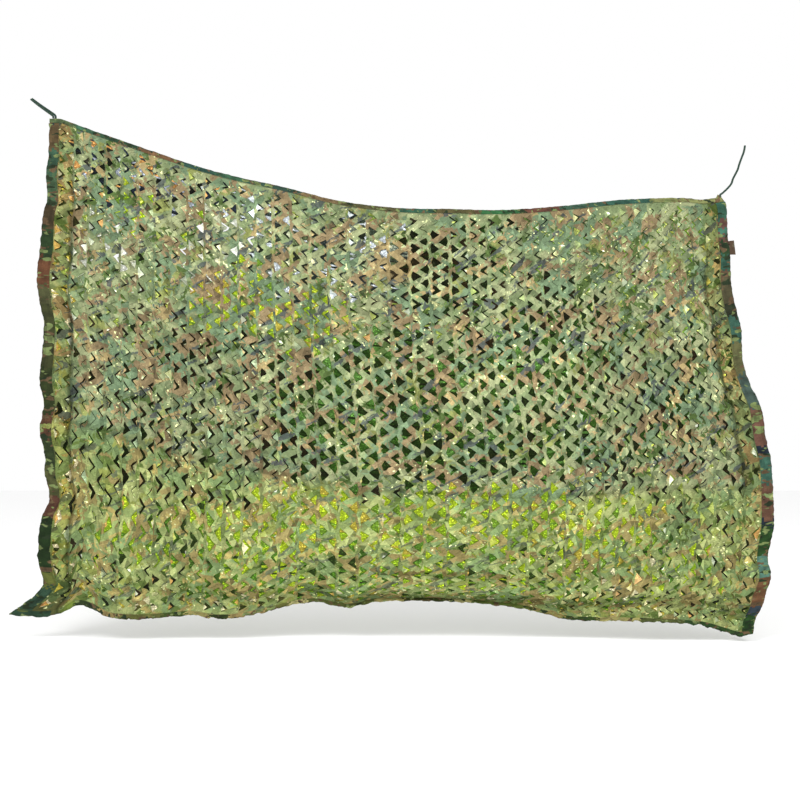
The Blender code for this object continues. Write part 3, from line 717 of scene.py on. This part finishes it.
class Cell:
    """A ring of ribbon round one cut, and the tongue inside it."""

    def __init__(self, cloth, column, top):
        self.cloth, self.points_right = cloth, column % 2 == 0
        self.width = COLUMN_LINES[column + 1] - COLUMN_LINES[column]
        self.height = ROW_LINES[top + 2] - ROW_LINES[top]
        self.along, self.down = COLUMN_LINES[column] + self.width / 2, ROW_LINES[top + 1]
        self.place = place_kind(self.along + stray(CLUSTER_SIZE) / 2, self.down + stray(CLUSTER_SIZE) / 2)
        self.cluster = clouds(self.along, self.down, 5.0, CLUSTER_SIZE) * 2
        self.wide = self.place.wide * chance.uniform(*CUT_SPREAD) * (1.0 if self.points_right else LESSER)
        self.sway = stray(JITTER)
        self.cut_line = self.place_cut()
        self.hinge_line = self.place_hinge()
        self.cut = [self.point(*place) for place in self.cut_line]
        self.hinge = self.row(self.hinge_line, [0.0] * len(CUT))

    def point(self, across, down, lift=0.0):
        """A point of the cloth, given in shares of the cell from its middle."""
        along = self.along + across * self.width * (1 if self.points_right else -1)
        down = self.down + down * self.height
        return self.cloth.point(along, down, self.sway + lift + crumple(along, down))

    def row(self, places, lifts):
        """A row of points that starts and ends with the ends of the cut."""
        inner = [self.point(*place, lift) for place, lift in zip(places[1:-1], lifts[1:-1])]
        return self.cut[:1] + inner + self.cut[-1:]

    def face(self, corners, **looks):
        """A face that looks at the viewer, whichever way its gap points."""
        self.cloth.face(tuple(reversed(corners)) if self.points_right else tuple(corners), **looks)

    def place_cut(self):
        jags = [CUT_JITTER * stray(1) / size for _ in CUT for size in (self.width, self.height)]
        size, turn = 1 + stray(SIZE_SPREAD), stray(TURN_SPREAD)
        furthest = WIDEST if self.wide > WIDE_CUT else -NARROWEST
        line = []
        for row, jag_across, jag_down in zip(CUT, jags[::2], jags[1::2]):
            across = mix(row.across, row.wide_across, self.wide) * size
            down = mix(row.down, row.wide_down, self.wide) * size
            turned = across - turn * down * self.height / self.width
            down = down + turn * across * self.width / self.height
            line.append((min(max(turned + jag_across, NARROWEST), furthest), down + jag_down))
        return line

    def place_hinge(self):
        """The side on which the tongue stays joined, from the first point of the cut to its last."""
        line = []
        for station in range(LAST + 1):
            across, down = [mix(*ends, station / LAST) for ends in zip(self.cut_line[0], self.cut_line[-1])]
            line.append((across - HINGE_BOW * self.wide * (1 - abs(2 * station / LAST - 1)), down))
        return line

    def lay_ribbon(self, near, far):
        """Six faces between the cut and the lines where this cell meets its neighbours."""
        cut, hinge = self.cut, self.hinge
        ring = [(near[0], far[0], cut[1], cut[0]), (far[0], far[1], cut[3], cut[2], cut[1]),
                (far[1], far[2], cut[5], cut[4], cut[3]), (far[2], near[2], cut[6], cut[5]),
                (near[2], near[1], hinge[3], hinge[4], hinge[5], cut[6]),
                (near[1], near[0], cut[0], hinge[1], hinge[2], hinge[3])]
        self.ring_lit = []
        for corners in ring:
            middle = [sum(self.cloth.flat[c][axis] for c in corners) / len(corners) for axis in (0, 1)]
            self.ring_lit.append(lit_at(*middle, mix(1.0, WIDE_LIT, self.wide)))
            self.face(corners, lit=self.ring_lit[-1])

    def reaches(self):
        """How far the tongue still covers its gap, at each station of the cut."""
        open_share = chance.gauss(self.place.open + CLUSTER_OPEN * self.cluster, OPEN_SPREAD)
        middle = LAST // 2
        gap = min(max(open_share, LEAST_OPEN), 1.0) * (self.cut_line[middle][0] - self.hinge_line[middle][0])
        bias = stray(ARM_BIAS) * (1 - self.wide)
        for station, (start, end, sag) in enumerate(zip(self.hinge_line, self.cut_line, SAG)):
            arm = mix(sag, 1.0, self.wide) * (1 + bias * (1 - 2 * station / LAST))
            yield max(LEAST_REACH, 1 - gap * arm / max(end[0] - start[0], LEAST_SPAN))

    def lay_tongue(self):
        """The tongue in its cut: it curls to the viewer, and may carry a painted glint of light."""
        kind, reaches = KINDS[self.place.kind], list(self.reaches())
        curl, lean = chance.uniform(*CURL), stray(LEAN)
        shades = [paint(code) for code in kind.shades.split()]
        shade, glint = chance.choice(shades), None
        if chance.random() < kind.glint_chance * (1 + CLUSTER_SPREAD * self.cluster):
            glint = paint(chance.choice(kind.glints.split()))
        open_gap = chance.random() < kind.open_chance
        lit = lit_at(self.along, self.down) * chance.uniform(*TONGUE_LIT)
        before = self.hinge
        for part, rise in TONGUE:
            places = [[mix(*ends, reach * part) for ends in zip(start, end)]
                      for start, end, reach in zip(self.hinge_line, self.cut_line, reaches)]
            lifts = [curl * rise * (1 + lean * (2 * station / LAST - 1)) for station in range(LAST + 1)]
            now = self.row(places, lifts)
            for first, corners in enumerate(strip_between(before, now)):
                looks = {"tint": glint, "strength": ROOT_GLINT}
                if part < 1:
                    looks["lit"] = self.ring_lit[5 if first < LAST // 2 else 4] * mix(1.0, lit, 0.5)
                else:
                    looks["lit"] = lit * (SHEEN if chance.random() < SHEEN_CHANCE else 1.0)
                    looks["strength"] = TIP_GLINT
                    if chance.random() < PAINTED_GLINT_SPECK_CHANCE:
                        looks["tint"] = chance.choice(PAINTED_GLINT_SPECKS)
                self.face(corners, **looks)
            before = now
        if not open_gap:
            self.lay_rim(before, shades, shade)

    def lay_rim(self, before, shades, shade):
        """The edge of the tongue turns away into the gap, and carries the shade that shows there as painted
        colour.
        """
        past, spread = RIM_PAST / self.width, 1 + RIM_SPREAD * RIM_PAST / self.height
        places = [(across + past, down * spread) for across, down in self.cut_line]
        for corners in strip_between(before, self.row(places, [-RIM_BACK] * len(CUT))):
            other = chance.choice(shades) if chance.random() < STRAY_SHADE else shade
            self.face(corners, tint=other, strength=RIM_STRENGTH)


# %% The whole cloth
cloth = Cloth()
lines = make_lines(cloth)
LAST_ALONG, LAST_DOWN = COLUMNS + 2, 2 * ROWS + 2

for i in range(LAST_ALONG):
    for j in range(LAST_DOWN):
        border = i in (0, LAST_ALONG - 1) or j in (0, LAST_DOWN - 1)
        half_cell = i % 2 == 0 and j in (1, LAST_DOWN - 2)
        if border or half_cell:
            cloth.face((lines[i, j], lines[i, j + 1], lines[i + 1, j + 1], lines[i + 1, j]))
for column in range(COLUMNS):
    for top in range(column % 2, 2 * ROWS - 1, 2):
        cell = Cell(cloth, column, top)
        sides = [[lines[column + side, top + row] for row in (1, 2, 3)] for side in (1, 2)]
        cell.lay_ribbon(*(sides if cell.points_right else reversed(sides)))
        cell.lay_tongue()
print("cloth:", len(cloth.flat), "points and", len(cloth.faces), "faces")

# %% [markdown]
# ## The woodland print
#
# The cloth is printed in sage green, tan and slate. Patches of a hand's width lie over each other, with
# slanting streaks of slate on top. Noise that is cut off at a level gives the patches, and the same noise
# drawn out along a slant gives the streaks. Both read the map of the flat cloth, so that the print follows
# the folds. A curled tongue shows a stretch of the print from a little further off.

# %% What the print reads
woodland = Finish("woodland_cloth", 0.78, gloss=0.04)
cloud, patch, blend = woodland.noise, woodland.patch, woodland.blend
TONGUE_SHIFT = (0.04, -0.03)
SLANT, SLANT_STRETCH = math.radians(-35), (1.0, 0.42, 1.0)
flat = woodland.flat_map()
lit = woodland.written("lit", "Fac")
tint, strength = woodland.written("tint", "Color"), woodland.written("tint", "Alpha")
turned = lit - 1
shift = woodland.node("ShaderNodeCombineXYZ", {},
                      {"X": turned * TONGUE_SHIFT[0], "Y": turned * TONGUE_SHIFT[1]})
printed_at = woodland.vector("ADD", {0: flat, 1: shift})
slanted = woodland.node("ShaderNodeMapping", {"vector_type": "TEXTURE"},
                        {"Vector": printed_at, "Rotation": (0, 0, SLANT), "Scale": SLANT_STRETCH})
print("print read from", flat.socket.name, "and", lit.socket.name)

# %% The patches of the print
GROUND = "6e7b57"
PATCHES = table("code size seed low high twist", ("898f6a", 0.08, 1.3, 0.44, 0.56, 0.6),
                ("65785b", 0.14, 3.3, 0.52, 0.56, 0.6), ("757b48", 0.09, 5.1, 0.59, 0.63, 0.6),
                ("4a5c32", 0.08, 7.7, 0.58, 0.61, 0.6), ("7b6c50", 0.10, 9.4, 0.555, 0.575, 1.0))
LIGHT_TAN, SLATE = table("code size seed low high twist", ("94845c", 0.08, 12.6, 0.61, 0.63, 1.0),
                         ("464d4b", 0.10, 14.2, 0.605, 0.62, 1.0))
SLATE_PART = 0.9
TAN_MIDDLE, TAN_REACH, TAN_CODE, TAN_PART = (1.535, 0.220, 0.0), (0.150, 0.120), "84714f", 0.85


def patches(row, place):
    return patch(cloud(place, row.size, row.seed, 3.0, row.twist), row.low, row.high)


from_tan = woodland.vector("DISTANCE", {0: printed_at, 1: TAN_MIDDLE}, "Value")
from_tan = from_tan + cloud(flat, 0.04, 45.0) * 0.08
layers = [(row.code, patches(row, printed_at)) for row in PATCHES]
layers += [(TAN_CODE, patch(from_tan, *TAN_REACH) * TAN_PART),
           (LIGHT_TAN.code, patches(LIGHT_TAN, printed_at)),
           (SLATE.code, patches(SLATE, slanted) * SLATE_PART)]
printed = paint(GROUND)
for code, part in layers:
    printed = blend(printed, paint(code), part)
print(len(layers), "kinds of patch")

# %% Parts that look deeper or paler
# Painted light: the lower part leans into the light, so it is painted paler, and the strips outside the two
# creases are seen aslant, so they are painted deeper. Every border between such parts wanders a little.
HALF = NET_WIDTH / 2
wander = cloud(flat, 0.05, 33.0, 1.0) * 0.02 - 0.01
along, down = [woodland.axis(flat, axis) + wander for axis in "XY"]
from_middle = along.apart(HALF)
lower = patch(down, 1.22, 1.32)
on_right = along > HALF
strip_here = 1 - lower * on_right
strip = patch(from_middle, HALF - 0.110, HALF - 0.100) * strip_here
drawn_out = patch(down, 1.90, 1.98) * strip
# Painted shade: dark lines along the creases beside the side tapes and along the packing fold
crease = patch(from_middle.apart(HALF - CREASE_FROM_EDGE), 0.014, 0.004)
crease = crease * patch(down, 0.15, CREASE_FADE) * strip_here
fold = patch(down.apart(FOLD_DOWN), 0.020, 0.004)
outer = patch(from_middle, 0.5, 1.1)   # the middle of the lower part catches the most light

LOWER_TONE, STRIP_TONE = (1.11, 1.13, 0.84, 1.0), (0.93, 0.88, 0.66, 1.0)
printed = blend(printed, paint("8a9468"), lower * 0.12)
printed = blend(printed, LOWER_TONE, lower, "MULTIPLY")
printed = blend(printed, STRIP_TONE, strip, "MULTIPLY")
printed = blend(printed, paint("33422a"), drawn_out * 0.75)
print("lower part from", FOLD_DOWN, "m down")

# %% Mottle and flecks, and painted light and shade: broad light, creases, pinpricks of light
mottle = cloud(flat, 0.006, 20.0) * 0.6 + 0.7
painted_broad_light = cloud(flat, 0.22, 23.0, 1.0) * 0.5 + 0.75
painted_crease_light = patch(cloud(slanted, 0.014, 40.0, 1.0), 0.60, 0.68) * 0.34
painted_crease_shade = patch(cloud(slanted, 0.016, 43.0, 1.0), 0.60, 0.68) * 0.34
cluster = patch(cloud(flat, 0.16, 53.0, 1.0), 0.46, 0.60)
painted_pinprick_light = patch(cloud(flat, 0.012, 50.0, 0.0), 0.73, 0.75) * cluster
# Painted light: pale pinpricks of light, in clusters, blended over the print
printed = blend(printed, paint("d6dca0"), painted_pinprick_light)

# The painted shade in a gap is mottled, with bright flecks in it; a tongue with a painted glint stays even
in_gap = strength > 0.9
flecks = patch(cloud(flat, 0.0065, 28.0, 1.0), 0.58, 0.68) * 2.0
gap_shade_mottle = cloud(flat, 0.009, 26.0, 2.0, 0.5) * 1.3 - 0.8 + flecks
colour = blend(printed, woodland.scaled(tint, 1 + gap_shade_mottle * in_gap), strength)
# Painted light and shade: each face's lit value, broad light, and lit and shaded creases
level = mottle * lit * painted_broad_light * (1 + painted_crease_light - painted_crease_shade)
# Painted shade: the sides of the lower part, the right strip, the side creases and the packing fold are
# painted darker
level = level * (1 - lower * outer * 0.09) * (1 - strip * on_right * 0.08)
level = level * (1 - crease * 0.5) * (1 - fold * 0.3)
weave = cloud(flat, 0.0016, 30.0, 1.0)
woodland_finish = woodland.show(woodland.scaled(colour, level), weave, 0.0004)
print("the print takes", len(woodland.tree.nodes), "nodes")

# %% The cloth as one piece
net = new_piece("net_cloth", cloth.places(), cloth.faces, woodland_finish, cloth.flat, smooth=False)
add_tints(net, cloth.tints, cloth.lit)
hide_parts("net_panel")
net.data.calc_loop_triangles()
print("net cloth:", len(net.data.loop_triangles), "triangles")

# %% [markdown]
# ## The bindings
#
# A tape is folded over each edge of the cloth and sewn through. It carries the same kind of print in deeper
# colours, and it gathers a little where the cloth pulls at it. Each binding is a strip that starts on the
# front, goes round the edge and ends on the back. The strip is laid station by station along the edge of the
# drape.

# %% A binding's section and print
# Across the tape from front to back: share of the way from the edge to its inner line, and side (1 is front)
SECTION = table("share side", (1.0, 1), (0.8, 1), (0.55, 1), (0.3, 1), (0.08, 1), (-0.02, 0), (0.08, -1),
                (0.4, -1), (0.7, -1), (1.0, -1))
STATION_PITCH, SECTION_PITCH = 0.008, 0.012
TAPE_RIPPLE, TAPE_RIPPLE_SIZE = 0.0022, 0.026
RAGGED_SIZES = (0.030, 0.011)
TAPE_END_GAP = 0.002
BAND_STRAY = 0.012        # how far the colour of the print strays past the end of its stretch
# The print of each tape, as stretches of one colour: where the stretch ends, measured along the tape
BANDS = {
    "top": table("end code", (0.11, "4a5a3a"), (0.22, "34573f"), (0.40, "26412c"), (0.58, "6a4f35"),
                 (0.74, "27443a"), (0.89, "35573f"), (1.12, "2c4438"), (1.30, "6f5e40"), (1.56, "4d4a2e"),
                 (1.72, "2f5340"), (1.92, "4f4a2c"), (2.10, "2c5a34"), (2.28, "5a3a2e"), (2.46, "34503f"),
                 (2.68, "2c4f42"), (3.10, "75794a")),
    "bottom": table("end code", (0.10, "27402e"), (0.15, "5a6a2a"), (0.24, "2c3a1c"), (0.33, "8a7a4c"),
                    (0.52, "5a5c2e"), (0.62, "3a4a1c"), (0.72, "8c8450"), (0.80, "2a3414"), (0.95, "8a7a4c"),
                    (1.05, "5a5c2c"), (1.12, "a09a68"), (1.40, "4d5428"), (1.52, "8c8450"), (1.70, "333a18"),
                    (1.80, "a09a68"), (2.05, "4d5a26"), (2.20, "7a7040"), (2.35, "2c3f16"), (2.52, "8a8450"),
                    (2.70, "4a5228"), (3.10, "27401c")),
    "left": table("end code", (0.015, "1b2530"), (0.13, "54452c"), (0.23, "2f4a38"), (0.36, "3c5238"),
                  (0.47, "3d3320"), (0.58, "26391f"), (0.70, "5c3c28"), (0.78, "4a4c2f"), (1.05, "363a1f"),
                  (1.24, "2b3418"), (1.35, "553a28"), (1.47, "2a361c"), (1.60, "454828"), (1.68, "4a3024"),
                  (1.91, "1c2e14"), (1.98, "565c2a"), (2.10, "2c4434")),
    "right": table("end code", (0.09, "2f5444"), (0.13, "5c4038"), (0.15, "355c4c"), (0.18, "5a4036"),
                   (0.24, "24391f"), (0.30, "2b4f40"), (0.33, "5a4234"), (0.44, "4a4630"), (0.50, "262b1c"),
                   (0.60, "35584a"), (0.74, "565636"), (0.88, "3f5048"), (1.05, "64473a"), (1.09, "1c2630"),
                   (1.24, "35584a"), (1.42, "5e4334"), (1.46, "1c2630"), (1.62, "24401c"), (1.75, "4f7464"),
                   (1.92, "60432c"), (1.98, "2f3a42"), (2.10, "24401c")),
}


def band_at(name, station):
    """Colour of the print at a station of a tape."""
    station += stray(BAND_STRAY)
    codes = [band.code for band in BANDS[name] if station < band.end]
    return paint(codes[0] if codes else BANDS[name][-1].code)


print("tapes:", ", ".join(BANDS))


# %% Folding a tape over an edge
def make_binding(name, first, last, ragged, tip=None):
    """Tape folded over one edge of the cloth, from its first station to its last."""
    count, width, seed = round((last - first) / STATION_PITCH), len(SECTION), len(name)
    points, flat_places, tints, lit = [], [], [], []
    for step in range(count + 1):
        station = mix(first, last, step / count)
        rim, root, outward, front = border_frame(name, station)
        waves = [clouds(station, seed, 3.0, size) for size in RAGGED_SIZES]
        rim = rim + outward * ragged * (0.4 + waves[0] + 0.7 * waves[1])
        if tip:
            rim = rim + Vector((0, 0, tip.height * max(0.0, 1 - abs(station - tip.along) / tip.half_width)))
        for number, row in enumerate(SECTION):
            ripple = TAPE_RIPPLE * clouds(station / TAPE_RIPPLE_SIZE, number * 0.6, seed, 1)
            height = row.side * (CLOTH / 2 + SEAM_GAP + TAPE / 2) + ripple
            across = rim + (root - rim) * row.share if row.side else rim + outward * (SEAM_GAP + TAPE / 2)
            points.append(across + front * height)
            flat_places.append((station, number / (width - 1)))
    for step in range(count):
        station = mix(first, last, (step + 0.5) / count)
        for number in range(width - 1):
            tints.append(band_at(name, station))
            lit.append(lit_at(station, number * SECTION_PITCH))
    faces = strip_faces(count, width - 1)
    binding = new_piece(name + "_binding", points, faces, tape_finish, flat_places)
    add_tints(binding, tints, lit)
    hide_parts("binding_" + name)
    print(binding.name, len(faces), "faces")
    return binding


# %% The tape's print
ALONG_TAPE = (1.0, 0.04, 0.0)    # the map across the tape runs from 0 to 1, which is about 40 mm


def make_tape_finish(name, base, spots):
    """Woven tape: its stretches of colour, blotches of other colours over them, and a fine rib."""
    tape = Finish(name, 0.72, gloss=0.15)
    at = tape.flat_map()
    lit = tape.written("lit", "Fac")
    colour = base or tape.written("tint", "Color")
    true_size = tape.vector("MULTIPLY", {0: at, 1: ALONG_TAPE})
    for seed, code in enumerate(spots):
        blotch = tape.noise(true_size, 0.028, 2.0 + 3 * seed, 2.0, 0.4)
        colour = tape.blend(colour, paint(code), tape.patch(blotch, 0.60, 0.63))
    rib = tape.noise(at, 0.004, 21.0, 1.0)
    worn = tape.noise(true_size, 0.016, 31.0) * 0.9 + 0.5
    # The lit value of each face paints light and shade into the tape's colour
    return tape.show(tape.scaled(colour, rib * worn * lit * 1.6 + 0.1), rib, 0.0005)


tape_finish = make_tape_finish("printed_tape", None, ("23301c", "5c4a34", "6f7d4c"))
end_finish = make_tape_finish("tape_end", paint("4f3f30"), ("3a2c24", "5f5a48"))
print("finishes:", tape_finish.name, end_finish.name)

# %% The four bindings
OVERHANG = SEAM_GAP + TAPE
ACROSS = -OVERHANG, NET_WIDTH + OVERHANG
DOWN = HEADING_INNER + TAPE_END_GAP, HEM_INNER - TAPE_END_GAP
Tip = namedtuple("Tip", "along height half_width")
bindings = [make_binding("top", *ACROSS, ragged=0.0018, tip=Tip(2.988, 0.018, 0.009)),
            make_binding("bottom", *ACROSS, ragged=0.007), make_binding("left", *DOWN, ragged=0.004),
            make_binding("right", *DOWN, ragged=0.003)]

# %% The tape's loose end
TAIL_TOP, TAIL_BOTTOM, TAIL_UNDER, TAIL_OUT, TAIL_FLARE = 0.181, 0.238, 0.020, 0.030, 0.008
TAIL_STEPS, TAIL_COLUMNS = 12, 10
TAIL_PRINT = 0.9          # where on the tape's print this end was cut


def make_tail():
    """The end of the tape lies behind the right binding and flares out past it."""
    behind = CLOTH / 2 + 2 * SEAM_GAP + TAPE + TAPE / 2
    points, flat_places = [], []
    for step in range(TAIL_STEPS + 1):
        down = mix(TAIL_TOP, TAIL_BOTTOM, step / TAIL_STEPS)
        rim, _, outward, front = border_frame("right", down)
        for number in range(TAIL_COLUMNS + 1):
            out = mix(-TAIL_UNDER, TAIL_OUT, number / TAIL_COLUMNS)
            flare = TAIL_FLARE * (max(out, 0.0) / TAIL_OUT) ** 2
            points.append(rim + outward * out - front * (behind + flare))
            flat_places.append((down + TAIL_PRINT, number / TAIL_COLUMNS))
    # Its rows of points run outwards, so its faces are turned round to look at the viewer
    faces = [(a, d, c, b) for a, b, c, d in strip_faces(TAIL_STEPS, TAIL_COLUMNS)]
    tail = new_piece("tape_end", points, faces, end_finish, flat_places)
    add_tints(tail, [(0, 0, 0, 1)] * len(faces), [1.0] * len(faces))
    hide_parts("tape_tail")
    return tail


tail = make_tail()
print("tape end:", len(tail.data.polygons), "faces")
